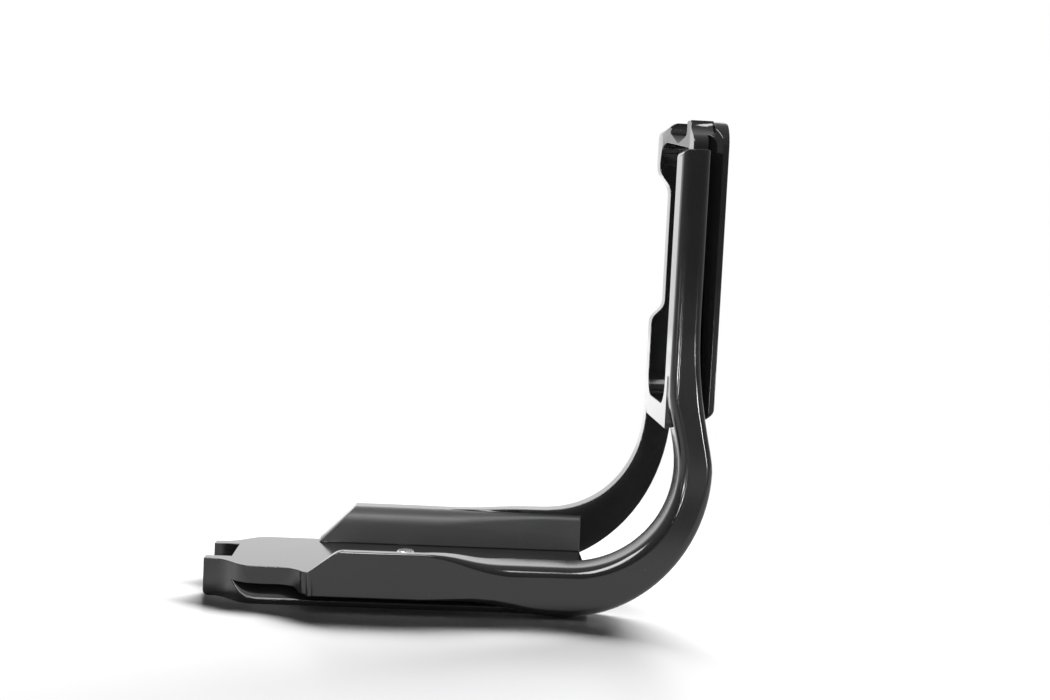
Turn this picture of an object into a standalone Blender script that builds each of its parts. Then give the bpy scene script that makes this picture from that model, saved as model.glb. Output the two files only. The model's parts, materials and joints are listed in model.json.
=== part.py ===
"""Camera L-bracket: a one-piece machined dovetail base and side plate, with a captive camera screw.

Lengths are metres. +Z is up, +X runs from the free end of the base towards the side plate, and +Y runs
from the lens side to the rear lip. Sizes below are taken from the camera screw's axis on the underside
of the base; the parts are then placed so that the bracket stands centred over the world origin.
"""

import math

import bmesh
import bpy
from mathutils import Matrix, Vector
from mathutils.geometry import interpolate_bezier

MM = 0.001

# Overall reach from the screw axis
LEFT_REACH = 52.9 * MM
RIGHT_REACH = 79.2 * MM
HALF_DEPTH = 25.0 * MM
PLATE_TOP = 131.8 * MM
OVERRUN = 4.0 * MM
SKIM = 0.02 * MM

# Dovetail, shared by the base and the side plate
DOVETAIL_HALF_WIDTH = 19.0 * MM
DOVETAIL_TIP = 1.5 * MM
GROOVE_ROOF = 5.3 * MM
GROOVE_LEDGE = 0.2 * MM
END_BLOCK_HALF_WIDTH = 11.3 * MM
END_NOTCH_HALF_WIDTH = 7.75 * MM
END_NOTCH_DEPTH = 6.8 * MM

# Base slab
BASE_THICKNESS = 10.0 * MM
BASE_END_GAP = 17.4 * MM
BASE_RIGHT_CORNER = 3.0 * MM
BASE_END_STRAIGHT = 1.4 * MM
BASE_END_SWEEP = 13.0 * MM
BASE_END_CORNER = 1.4 * MM

# Front wall, whose outer face carries on as the front arm
WALL_LEFT_END = 25.2 * MM
WALL_THICKNESS = 2.7 * MM
WALL_HEIGHT = 5.9 * MM
WALL_UNDERSIDE = 3.8 * MM
WALL_END_RUN = 8.4 * MM
WALL_END_LIFT = 0.5 * MM
WALL_END_ROUND = 2.5 * MM
WALL_CREST_ROUND = 4.0 * MM
FLARE_START = 34.0 * MM
FLARE_RADIUS = 9.6 * MM
FLARE_OVERLAP = 0.1 * MM
FLARE_STOP = 25.8 * MM
FLARE_STEP = 1.0 * MM
EDGE_BREAK = 0.4 * MM

# Front arm: inner line, outer line and the fillets of its front face
ARM_WIDTH = 10.8 * MM
ARM_ROOT_START = 5.0 * MM
ARM_ROOT_LENGTH = 22.0 * MM
ARM_ROOT_TOP = 13.5 * MM
ARM_BEND_RUN = 23.5 * MM
ARM_BEND_SWELL = 3.6 * MM
ARM_BEND_HEIGHT = 40.0 * MM
ARM_BELLY_START = 14.0 * MM
ARM_BELLY_LEAD = 1.0 * MM
ARM_BELLY_BOTTOM = 0.6 * MM
ARM_BELLY_SETBACK = 0.3 * MM
ARM_BELLY_HEIGHT = 39.9 * MM
ARM_FILLET = 2.8 * MM
ARM_LOWER_FILLET = 2.0 * MM
BEND_FULLNESS_SHARE = 0.56
BELLY_FULLNESS_SHARE = 0.547
NECK_HANDLE = 8.0 * MM
NECK_INNER_TOP = 62.3 * MM
NECK_OUTER_TOP = 78.0 * MM
NECK_OUTER_START = 5.0 * MM
NECK_OUTER_HANDLE = 20.0 * MM

# Side frame rails
RAIL_THICKNESS = 7.2 * MM
FRONT_RAIL_DROP = 8.9 * MM
FRONT_RAIL_CORNER = 2.0 * MM
REAR_RAIL_CORNER = 3.5 * MM
REAR_RAIL_WIDTH = 7.5 * MM
SCALLOP_DEPTH = 3.5 * MM
SCALLOP_BOTTOM = 75.9 * MM
SCALLOP_DROP = 11.1 * MM
SCALLOP_LOWER_RUN = 6.7 * MM
SCALLOP_UPPER_RUN = 8.3 * MM

# Rear lip and the back arm that grows out of it
LIP_HEIGHT = 9.7 * MM
LIP_SLANT_RUN = 10.1 * MM
LIP_FOOT_DEPTH = 10.5 * MM
LIP_LEAN_DEGREES = 8.0
LIP_CREST_ROUND = 5.0 * MM
LIP_END_ROUND = 1.5 * MM
BACK_RISE_START = 10.0 * MM
BACK_BEND_RUN = 28.5 * MM
BACK_RISE = 1.3 * MM
BACK_BEND_HEIGHT = 52.0 * MM
BACK_FULLNESS_SHARE = 0.6
BACK_BELLY_START = 26.0 * MM
BACK_BELLY_HEIGHT = 52.0 * MM
BACK_BELLY_HANDLE = 32.6 * MM
BACK_NECK_HANDLE = 24.1 * MM
BACK_FILLET = 2.0 * MM

# Side plate between and behind the rails
PLATE_BOTTOM = 50.2 * MM
PLATE_HEEL = 52.6 * MM
PLATE_HEEL_RUN = 2.6 * MM
PLATE_HEEL_RISE = 2.3 * MM
PLATE_END_SWEEP = 7.0 * MM
NECK_HALF_WIDTH = 18.0 * MM
FLANGE_CORNER = 7.0 * MM
FLANGE_FOOT_CORNER = 4.0 * MM
FLANGE_TOP_GAP = 0.8 * MM
FRONT_BLOCK_GAP = 0.5 * MM
FLANGE_TOP_EDGE = 1.2 * MM
FLANGE_THICKNESS = 3.5 * MM
CROWN_SLANT = 1.1 * MM
CROWN_REAR = 15.0 * MM
POCKET_DEPTH = 1.0 * MM
POCKET_BOTTOM = 56.0 * MM
POCKET_REAR_DROP = 4.5 * MM
POCKET_FRONT_DROP = 8.2 * MM
POCKET_CORNER = 6.5 * MM
TOP_NOTCH_REAR_DEPTH = 2.8 * MM
TOP_NOTCH_MIDDLE_DEPTH = 6.0 * MM
TOP_NOTCH_FRONT_DEPTH = 4.2 * MM
NOTCH_CORNER = 1.5 * MM

# Captive camera screw, slip washer and retaining ring
THREAD_DIAMETER = 6.35 * MM
TIP_CHAMFER = 1.2 * MM
TIP_HEIGHT = 1.6 * MM
HEAD_DIAMETER = 13.0 * MM
HEAD_HEIGHT = 2.4 * MM
HEAD_CHAMFER = 0.4 * MM
SOCKET_ACROSS_FLATS = 4.0 * MM
SOCKET_DEPTH = 1.7 * MM
BORE_CLEARANCE = 0.35 * MM
COUNTERBORE_DIAMETER = 14.0 * MM
WEB_THICKNESS = 2.2 * MM
WASHER_DIAMETER = 12.6 * MM
WASHER_THICKNESS = 0.5 * MM
RING_THICKNESS = 0.7 * MM
RING_INNER_DIAMETER = 11.6 * MM
RING_GROOVE_DIAMETER = 16.4 * MM
RING_GAP_DEGREES = 50.0
RING_LIP = 0.7 * MM
RING_SIDE_CLEARANCE = 0.15 * MM
SEAT_GAP = 0.3 * MM

# Curve resolution
BEND_STEPS = 22
SWEEP_STEPS = 8
CORNER_STEPS = 8
FILLET_STEPS = 6
BORE_SIDES = 64

# Places worked out from the sizes above
BASE_LEFT_END = -LEFT_REACH
NECK_ROOF = RIGHT_REACH - GROOVE_ROOF
RAIL_OUTER = NECK_ROOF - GROOVE_LEDGE
RAIL_INNER = RAIL_OUTER - RAIL_THICKNESS
BASE_RIGHT_END = RAIL_INNER - BASE_END_GAP
ARM_BEND_START = RAIL_INNER - ARM_BEND_RUN
ARM_BEND_REACH = RAIL_INNER + ARM_BEND_SWELL
ARM_BELLY_REACH = RIGHT_REACH - ARM_BELLY_SETBACK
ARM_BELLY_END = ARM_BEND_START - ARM_BELLY_LEAD
BACK_BEND_START = RAIL_INNER - BACK_BEND_RUN
PLATE_INNER = RAIL_INNER + SCALLOP_DEPTH
POCKET_FLOOR = PLATE_INNER + POCKET_DEPTH
FLANGE_INNER = RIGHT_REACH - FLANGE_THICKNESS
FLANGE_TOP = PLATE_TOP - FLANGE_TOP_GAP
FRONT_RAIL_TOP = PLATE_TOP - FRONT_RAIL_DROP
SCALLOP_TOP = PLATE_TOP - SCALLOP_DROP
WALL_TOP = BASE_THICKNESS + WALL_HEIGHT
LIP_TOP = BASE_THICKNESS + LIP_HEIGHT
BACK_TOP = LIP_TOP + BACK_RISE
FRONT_RAIL_SIDE = ARM_WIDTH - HALF_DEPTH
REAR_RAIL_SIDE = HALF_DEPTH - REAR_RAIL_WIDTH
GROOVE_BOTTOM = RING_LIP
RING_BOTTOM = GROOVE_BOTTOM + RING_SIDE_CLEARANCE
GROOVE_TOP = RING_BOTTOM + RING_THICKNESS + RING_SIDE_CLEARANCE
HEAD_BOTTOM = RING_BOTTOM + RING_THICKNESS + SEAT_GAP
WASHER_BOTTOM = HEAD_BOTTOM + HEAD_HEIGHT + SEAT_GAP
SHOULDER = BASE_THICKNESS - WEB_THICKNESS


def clear_scene():
    """Remove every object that the file starts with."""
    for obj in list(bpy.data.objects):
        bpy.data.objects.remove(obj)


def make_material(name, colour, metallic, roughness):
    """One Principled BSDF finish."""
    material = bpy.data.materials.new(name)
    material.use_nodes = True
    shader = material.node_tree.nodes["Principled BSDF"]
    shader.inputs["Base Color"].default_value = (*colour, 1.0)
    shader.inputs["Metallic"].default_value = metallic
    shader.inputs["Roughness"].default_value = roughness
    return material


def add_object(name, mesh_builder):
    """Turn a finished bmesh into a linked object."""
    bmesh.ops.recalc_face_normals(mesh_builder, faces=mesh_builder.faces)
    mesh = bpy.data.meshes.new(name)
    mesh_builder.to_mesh(mesh)
    mesh_builder.free()
    obj = bpy.data.objects.new(name, mesh)
    bpy.context.scene.collection.objects.link(obj)
    return obj


def prism(name, outline, axis, start, end):
    """Extrude a flat outline along an axis. The outline holds the two other coordinates, in X, Y, Z order."""
    place = {
        "X": lambda a, b: (start, a, b),
        "Y": lambda a, b: (a, start, b),
        "Z": lambda a, b: (a, b, start),
    }[axis]
    shift = Vector([end - start if letter == axis else 0 for letter in "XYZ"])
    builder = bmesh.new()
    face = builder.faces.new([builder.verts.new(place(a, b)) for a, b in outline])
    raised = bmesh.ops.extrude_face_region(builder, geom=[face])
    moved = [item for item in raised["geom"] if isinstance(item, bmesh.types.BMVert)]
    bmesh.ops.translate(builder, verts=moved, vec=shift)
    return add_object(name, builder)


def loft(name, sections):
    """Skin closed sections of equal point count, one after another, and cap both ends."""
    builder = bmesh.new()
    rings = [[builder.verts.new(point) for point in section] for section in sections]
    for ring, following in zip(rings, rings[1:]):
        for index in range(len(ring)):
            ahead = (index + 1) % len(ring)
            builder.faces.new([ring[index], ring[ahead], following[ahead], following[index]])
    builder.faces.new(rings[0])
    builder.faces.new(rings[-1])
    return add_object(name, builder)


def turned(name, profile):
    """Spin a half profile of (radius, height) points about the screw axis."""
    builder = bmesh.new()
    verts = [builder.verts.new((radius, 0, height)) for radius, height in profile]
    edges = [builder.edges.new(pair) for pair in zip(verts, verts[1:] + verts[:1])]
    bmesh.ops.spin(
        builder,
        geom=verts + edges,
        axis=(0, 0, 1),
        cent=(0, 0, 0),
        steps=BORE_SIDES,
        angle=math.tau,
        use_merge=True,
    )
    bmesh.ops.remove_doubles(builder, verts=builder.verts, dist=EDGE_BREAK / BORE_SIDES)
    return add_object(name, builder)


def combine(target, other, operation):
    """Add a Boolean against a hidden helper."""
    other.hide_render = True
    other.display_type = "WIRE"
    modifier = target.modifiers.new(f"{operation.title()} {other.name}", "BOOLEAN")
    modifier.operation = operation
    modifier.solver = "EXACT"
    modifier.object = other


def cut(target, *cutters):
    """Subtract each cutter in turn."""
    for cutter in cutters:
        combine(target, cutter, "DIFFERENCE")


def join(target, *others):
    """Unite each helper with the target in turn."""
    for other in others:
        combine(target, other, "UNION")


def arc(centre, radius, start, end, steps):
    """Points along a circular arc, angles in degrees."""
    angles = [math.radians(start + (end - start) * step / steps) for step in range(steps + 1)]
    return [
        (centre[0] + radius * math.cos(angle), centre[1] + radius * math.sin(angle))
        for angle in angles
    ]


def bezier(start, leave, arrive, end, steps):
    """Points along one Bezier stretch between two knots, given the offsets of their handles."""
    start = Vector(start)
    end = Vector(end)
    points = interpolate_bezier(start, start + Vector(leave), end + Vector(arrive), end, steps + 1)
    return [(point[0], point[1]) for point in points]


def sweep(start, end, along, steps=SWEEP_STEPS):
    """An S of two smooth halves from start to end, leaving and arriving parallel to axis 0 or 1."""
    handle = [0, 0]
    handle[along] = (end[along] - start[along]) / 2
    back = [-value for value in handle]
    return bezier(start, handle, back, end, steps)


def rounded(corners, steps=CORNER_STEPS):
    """An outline whose corners, given as (a, b, radius), are replaced by arcs."""
    outline = []
    count = len(corners)
    for index, (a, b, radius) in enumerate(corners):
        if radius == 0:
            outline.append((a, b))
            continue
        corner = Vector((a, b))
        before = (Vector(corners[index - 1][:2]) - corner).normalized()
        after = (Vector(corners[(index + 1) % count][:2]) - corner).normalized()
        half = before.angle(after) / 2
        centre = corner + (before + after).normalized() * (radius / math.sin(half))
        first = corner + before * (radius / math.tan(half)) - centre
        last = corner + after * (radius / math.tan(half)) - centre
        turn = math.atan2(first.cross(last), first.dot(last))
        for step in range(steps + 1):
            angle = turn * step / steps
            spoke = Matrix.Rotation(angle, 2) @ first
            outline.append(tuple(centre + spoke))
    return outline


def crossing(path, origin, direction):
    """The point where a ray first meets a path of straight stretches."""
    origin = Vector(origin)
    direction = Vector(direction)
    hits = []
    for start, end in zip(path, path[1:]):
        start = Vector(start)
        stretch = Vector(end) - start
        slope = direction.cross(stretch)
        if slope == 0:
            continue
        reach = (start - origin).cross(stretch) / slope
        share = (start - origin).cross(direction) / slope
        if 0 <= share <= 1 and reach >= 0:
            hits.append(reach)
    return origin + direction * min(hits)


def base_outline():
    """Plan of the dovetail slab: a narrow end block that sweeps out to the dovetail width."""
    shoulder_start = BASE_LEFT_END + BASE_END_STRAIGHT
    shoulder_end = shoulder_start + BASE_END_SWEEP
    rear = sweep(
        (shoulder_start, END_BLOCK_HALF_WIDTH), (shoulder_end, DOVETAIL_HALF_WIDTH), 0
    )
    front = [(x, -y) for x, y in reversed(rear)]
    right_end = rounded(
        [
            (0, DOVETAIL_HALF_WIDTH, 0),
            (BASE_RIGHT_END, DOVETAIL_HALF_WIDTH, 0),
            (BASE_RIGHT_END, -DOVETAIL_HALF_WIDTH, BASE_RIGHT_CORNER),
            (0, -DOVETAIL_HALF_WIDTH, 0),
        ]
    )
    return [
        (BASE_LEFT_END, END_BLOCK_HALF_WIDTH),
        *rear,
        *right_end,
        *front,
        (BASE_LEFT_END, -END_BLOCK_HALF_WIDTH),
    ]


def base_slab():
    """The slab, with its lower left edge rounded."""
    slab = prism("slab_form", base_outline(), "Z", 0, BASE_THICKNESS)
    edge = rounded(
        [
            (BASE_LEFT_END, 0, BASE_END_CORNER),
            (BASE_LEFT_END, BASE_THICKNESS, 0),
            (BASE_LEFT_END - OVERRUN, BASE_THICKNESS, 0),
            (BASE_LEFT_END - OVERRUN, -OVERRUN, 0),
            (0, -OVERRUN, 0),
            (0, 0, 0),
        ]
    )
    cut(slab, prism("slab_edge_cutter", edge, "Y", -HALF_DEPTH, HALF_DEPTH))
    return slab


def flare_outline():
    """Plan of the ear by which the slab's front side sweeps out to the wall's left end."""
    centre = (-FLARE_START, -DOVETAIL_HALF_WIDTH + FLARE_OVERLAP - FLARE_RADIUS)
    stop = math.degrees(math.acos((FLARE_START - FLARE_STOP) / FLARE_RADIUS))
    return [
        (-FLARE_START, -END_BLOCK_HALF_WIDTH),
        *arc(centre, FLARE_RADIUS, 90, stop, BEND_STEPS),
        (-FLARE_STOP + FLARE_STEP, -HALF_DEPTH + FLARE_STEP),
        (-FLARE_STOP + WALL_END_ROUND, -HALF_DEPTH + WALL_THICKNESS / 2),
        (ARM_BELLY_START, -HALF_DEPTH + WALL_THICKNESS / 2),
        (ARM_BELLY_START, -END_BLOCK_HALF_WIDTH),
    ]


def front_lines():
    """The upper and inner line, and the lower and outer line, of the front wall, arm and rail."""
    bend_x = (ARM_BEND_REACH - ARM_BEND_START) * BEND_FULLNESS_SHARE
    bend_z = (ARM_BEND_HEIGHT - ARM_ROOT_TOP) * BEND_FULLNESS_SHARE
    root_end = ARM_ROOT_START + ARM_ROOT_LENGTH
    inner = [
        (BASE_LEFT_END, WALL_TOP),
        *sweep((ARM_ROOT_START, WALL_TOP), (root_end, ARM_ROOT_TOP), 0),
        *bezier(
            (ARM_BEND_START, ARM_ROOT_TOP),
            (bend_x, 0),
            (0, -bend_z),
            (ARM_BEND_REACH, ARM_BEND_HEIGHT),
            BEND_STEPS,
        ),
        *bezier(
            (ARM_BEND_REACH, ARM_BEND_HEIGHT),
            (0, NECK_HANDLE),
            (0, -NECK_HANDLE),
            (RAIL_INNER, NECK_INNER_TOP),
            SWEEP_STEPS,
        )[1:],
        (RAIL_INNER, PLATE_TOP + OVERRUN),
    ]
    belly_x = (ARM_BELLY_REACH - ARM_BELLY_END) * BELLY_FULLNESS_SHARE
    belly_z = (ARM_BELLY_HEIGHT - ARM_BELLY_BOTTOM) * BELLY_FULLNESS_SHARE
    outer = [
        (BASE_LEFT_END, WALL_UNDERSIDE),
        *sweep((ARM_BELLY_START, WALL_UNDERSIDE), (ARM_BELLY_END, ARM_BELLY_BOTTOM), 0),
        *bezier(
            (ARM_BELLY_END, ARM_BELLY_BOTTOM),
            (belly_x, 0),
            (0, -belly_z),
            (ARM_BELLY_REACH, ARM_BELLY_HEIGHT),
            BEND_STEPS,
        )[1:],
        *bezier(
            (ARM_BELLY_REACH, ARM_BELLY_HEIGHT),
            (0, NECK_OUTER_START),
            (0, -NECK_OUTER_HANDLE),
            (RAIL_OUTER, NECK_OUTER_TOP),
            SWEEP_STEPS,
        )[1:],
        (RAIL_OUTER, PLATE_TOP + OVERRUN),
    ]
    return inner, outer


def back_lines():
    """The upper and inner line, and the lower and outer line, of the lip, back arm and rear rail."""
    bend_x = (RAIL_INNER - BACK_BEND_START) * BACK_FULLNESS_SHARE
    bend_z = (BACK_BEND_HEIGHT - BACK_TOP) * BACK_FULLNESS_SHARE
    hollow = RAIL_INNER + SCALLOP_DEPTH
    inner = [
        (BASE_LEFT_END, LIP_TOP),
        *sweep((BACK_RISE_START, LIP_TOP), (BACK_BEND_START, BACK_TOP), 0),
        *bezier(
            (BACK_BEND_START, BACK_TOP),
            (bend_x, 0),
            (0, -bend_z),
            (RAIL_INNER, BACK_BEND_HEIGHT),
            BEND_STEPS,
        )[1:],
        *sweep((RAIL_INNER, SCALLOP_BOTTOM), (hollow, SCALLOP_BOTTOM + SCALLOP_LOWER_RUN), 1),
        *sweep((hollow, SCALLOP_TOP - SCALLOP_UPPER_RUN), (RAIL_INNER, SCALLOP_TOP), 1),
        (RAIL_INNER, PLATE_TOP + OVERRUN),
    ]
    outer = [
        (BASE_LEFT_END, WALL_UNDERSIDE),
        *bezier(
            (BACK_BELLY_START, WALL_UNDERSIDE),
            (BACK_BELLY_HANDLE, 0),
            (0, -BACK_NECK_HANDLE),
            (RAIL_OUTER, BACK_BELLY_HEIGHT),
            BEND_STEPS,
        ),
        (RAIL_OUTER, PLATE_TOP + OVERRUN),
    ]
    return inner, outer


def side_sections(lines, left_end, top, side, face, fillets):
    """Sections of a wall, arm and rail from its left end round the bend to its top.

    Each section runs across from the inner to the outer line. Its corners at the outer face are rounded
    by fillets that grow from an edge break on the wall to their full size on the arm.
    """
    inner, outer = lines
    centre = (ARM_BEND_START, ARM_BEND_HEIGHT)
    tall = PLATE_TOP + OVERRUN
    stations = []
    for x in (left_end, *wall_places()):
        stations.append(((x, tall), (0, -1), fillet_growth(x)))
    for step in range(1, BEND_STEPS * 2 + 1):
        angle = math.radians(-90 + 90 * step / (BEND_STEPS * 2))
        stations.append((centre, (math.cos(angle), math.sin(angle)), 1))
    for z in rail_places(inner, outer, top):
        stations.append(((ARM_BEND_START, z), (1, 0), 1))
    sections = []
    for origin, direction, growth in stations:
        upper = crossing(inner, origin, direction)
        lower = crossing(outer, origin, direction)
        sizes = [EDGE_BREAK + (fillet - EDGE_BREAK) * growth for fillet in fillets]
        sections.append(side_section(upper, lower, side, face, sizes))
    return sections


def wall_places():
    """Places along X where a wall changes, up to the start of the bend."""
    root = [ARM_ROOT_START + ARM_ROOT_LENGTH * step / SWEEP_STEPS for step in range(SWEEP_STEPS)]
    belly = [x for x, _ in sweep((root[-1], 0), (ARM_BEND_START, WALL_HEIGHT), 0)]
    return root[:-1] + belly


def fillet_growth(x):
    """How far along its growth a fillet is, from 0 on the wall to 1 on the arm."""
    travelled = (x - ARM_ROOT_START) / ARM_ROOT_LENGTH
    return min(max(travelled, 0), 1)


def rail_places(inner, outer, top):
    """Heights above the bend where either line has a point, and the top."""
    heights = {z for x, z in inner + outer if x >= RAIL_INNER and ARM_BEND_HEIGHT < z < top}
    spread = []
    for z in sorted(heights):
        if not spread or z - spread[-1] > EDGE_BREAK:
            spread.append(z)
    return [*spread, top]


def side_section(upper, lower, side, face, fillets):
    """One section across a side frame: flat at its side plane, with rounded corners at its face."""
    across = (lower - upper).normalized()
    towards = math.copysign(1, face - side)
    points = [(upper, side)]
    for turn in range(FILLET_STEPS + 1):
        angle = math.radians(90 * turn / FILLET_STEPS)
        place = upper + across * fillets[0] * (1 - math.cos(angle))
        points.append((place, face - towards * fillets[0] * (1 - math.sin(angle))))
    for turn in range(FILLET_STEPS + 1):
        angle = math.radians(90 - 90 * turn / FILLET_STEPS)
        place = lower - across * fillets[1] * (1 - math.cos(angle))
        points.append((place, face - towards * fillets[1] * (1 - math.sin(angle))))
    points.append((lower, side))
    return [(place[0], depth, place[1]) for place, depth in points]


def front_side():
    """Front wall, arm and rail in one sweep, less the room for the camera and the slanted left end."""
    side = loft(
        "front_side_form",
        side_sections(
            front_lines(),
            -WALL_LEFT_END,
            FRONT_RAIL_TOP,
            FRONT_RAIL_SIDE,
            -HALF_DEPTH,
            (ARM_FILLET, ARM_LOWER_FILLET),
        ),
    )
    wall_inside = -HALF_DEPTH + WALL_THICKNESS
    root_end = ARM_ROOT_START + ARM_ROOT_LENGTH
    slope_share = OVERRUN / (FRONT_RAIL_SIDE - wall_inside)
    seat = [
        (-WALL_LEFT_END - OVERRUN, wall_inside),
        (ARM_ROOT_START, wall_inside),
        (root_end + ARM_ROOT_LENGTH * slope_share, FRONT_RAIL_SIDE + OVERRUN),
        (-WALL_LEFT_END - OVERRUN, FRONT_RAIL_SIDE + OVERRUN),
    ]
    slant_base = BASE_THICKNESS - WALL_END_LIFT
    slant = rounded(
        [
            (-WALL_LEFT_END - OVERRUN, slant_base, 0),
            (-WALL_LEFT_END, slant_base, 0),
            (-WALL_LEFT_END + WALL_END_RUN, WALL_TOP, WALL_CREST_ROUND),
            (ARM_ROOT_START, WALL_TOP, 0),
            (ARM_ROOT_START, WALL_TOP + OVERRUN, 0),
            (-WALL_LEFT_END - OVERRUN, WALL_TOP + OVERRUN, 0),
        ]
    )
    end_round = rounded(
        [
            (-WALL_LEFT_END, -HALF_DEPTH, WALL_END_ROUND),
            (ARM_ROOT_START, -HALF_DEPTH, 0),
            (ARM_ROOT_START, -HALF_DEPTH - OVERRUN, 0),
            (-WALL_LEFT_END - OVERRUN, -HALF_DEPTH - OVERRUN, 0),
            (-WALL_LEFT_END - OVERRUN, -DOVETAIL_HALF_WIDTH, 0),
            (-WALL_LEFT_END, -DOVETAIL_HALF_WIDTH, 0),
        ]
    )
    face_end = -HALF_DEPTH - OVERRUN
    inner_end = FRONT_RAIL_SIDE + OVERRUN
    cut(
        side,
        prism("seat_cutter", seat, "Z", BASE_THICKNESS - EDGE_BREAK, WALL_TOP + OVERRUN),
        prism("wall_slant_cutter", slant, "Y", face_end, inner_end),
        prism("wall_end_cutter", end_round, "Z", 0, WALL_TOP + OVERRUN),
        rail_corner("front_rail_cutter", FRONT_RAIL_TOP, FRONT_RAIL_CORNER, face_end, inner_end),
    )
    return side


def lip_round(x, radius):
    """Section at x of the cutter that rounds the lip's crest over, from the leaning face to the flat top."""
    lean = math.radians(LIP_LEAN_DEGREES)
    foot = HALF_DEPTH - LIP_FOOT_DEPTH
    climb = (LIP_HEIGHT - radius * (1 - math.sin(lean))) / math.cos(lean)
    crest = foot + climb * math.sin(lean) + radius * math.cos(lean)
    centre = (crest, LIP_TOP - radius + SKIM)
    curve = arc(centre, radius, 180 - LIP_LEAN_DEGREES, 90, CORNER_STEPS)
    outside = [
        (crest, LIP_TOP + OVERRUN),
        (foot - OVERRUN, LIP_TOP + OVERRUN),
        (foot - OVERRUN, curve[0][1]),
    ]
    return [(x, depth, height) for depth, height in [*curve, *outside]]


def lip_form():
    """Rear lip before its crest is rounded: a face that leans back from its foot."""
    foot = HALF_DEPTH - LIP_FOOT_DEPTH
    back = HALF_DEPTH - REAR_RAIL_WIDTH / 2
    crest = foot + LIP_HEIGHT * math.tan(math.radians(LIP_LEAN_DEGREES))
    outline = [
        (foot, SHOULDER),
        (foot, BASE_THICKNESS),
        (crest, LIP_TOP),
        (back, LIP_TOP),
        (back, SHOULDER),
    ]
    return prism("lip_form", outline, "X", -WALL_LEFT_END, BASE_RIGHT_END)


def back_side():
    """Rear lip, back arm and rear rail, less the rounded crest of the lip and its slanted left end."""
    side = loft(
        "back_side_form",
        side_sections(
            back_lines(),
            -WALL_LEFT_END,
            PLATE_TOP + OVERRUN / 3,
            REAR_RAIL_SIDE,
            HALF_DEPTH,
            (BACK_FILLET, BACK_FILLET),
        ),
    )
    slant = [
        (-WALL_LEFT_END - OVERRUN, BASE_THICKNESS - WALL_END_LIFT),
        (-WALL_LEFT_END, BASE_THICKNESS - WALL_END_LIFT),
        (-WALL_LEFT_END + LIP_SLANT_RUN, LIP_TOP),
        (-WALL_LEFT_END + LIP_SLANT_RUN, LIP_TOP + OVERRUN),
        (-WALL_LEFT_END - OVERRUN, LIP_TOP + OVERRUN),
    ]
    crest = loft(
        "lip_crest_cutter",
        [
            lip_round(-WALL_LEFT_END - OVERRUN, LIP_CREST_ROUND),
            lip_round(BACK_RISE_START, LIP_CREST_ROUND),
            lip_round(BACK_BEND_START, LIP_END_ROUND),
            lip_round(BASE_RIGHT_END + OVERRUN, LIP_END_ROUND),
        ],
    )
    join(side, lip_form())
    cut(side, crest, prism("lip_slant_cutter", slant, "Y", 0, HALF_DEPTH + OVERRUN))
    return side


def rail_corner(name, top, radius, near, far):
    """A cutter that rounds the inner top corner of a rail between two places along Y."""
    centre = (RAIL_INNER + radius - SKIM, top - radius + SKIM)
    corner = [
        *arc(centre, radius, 180, 90, CORNER_STEPS),
        (centre[0], top + OVERRUN),
        (RAIL_INNER - OVERRUN, top + OVERRUN),
        (RAIL_INNER - OVERRUN, centre[1]),
    ]
    return prism(name, corner, "Y", near, far)


def plate_outline():
    """The neck's Y and Z outline: full width, sweeping in to the narrow block at its top."""
    sweep_start = PLATE_TOP - PLATE_END_SWEEP
    front = sweep((-NECK_HALF_WIDTH, sweep_start), (-END_BLOCK_HALF_WIDTH, FLANGE_TOP), 1)
    return [
        (-NECK_HALF_WIDTH, PLATE_BOTTOM),
        *front,
        (-END_BLOCK_HALF_WIDTH, PLATE_TOP + OVERRUN / 2),
        (NECK_HALF_WIDTH, PLATE_TOP + OVERRUN / 2),
        (NECK_HALF_WIDTH, PLATE_BOTTOM),
    ]


def flange_outline():
    """The outer dovetail flange's Y and Z outline, a long plate with rounded corners."""
    return rounded(
        [
            (-DOVETAIL_HALF_WIDTH, PLATE_BOTTOM, FLANGE_FOOT_CORNER),
            (-DOVETAIL_HALF_WIDTH, FLANGE_TOP, FLANGE_CORNER),
            (DOVETAIL_HALF_WIDTH, FLANGE_TOP, FLANGE_CORNER),
            (DOVETAIL_HALF_WIDTH, PLATE_BOTTOM, FLANGE_FOOT_CORNER),
        ]
    )


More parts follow.
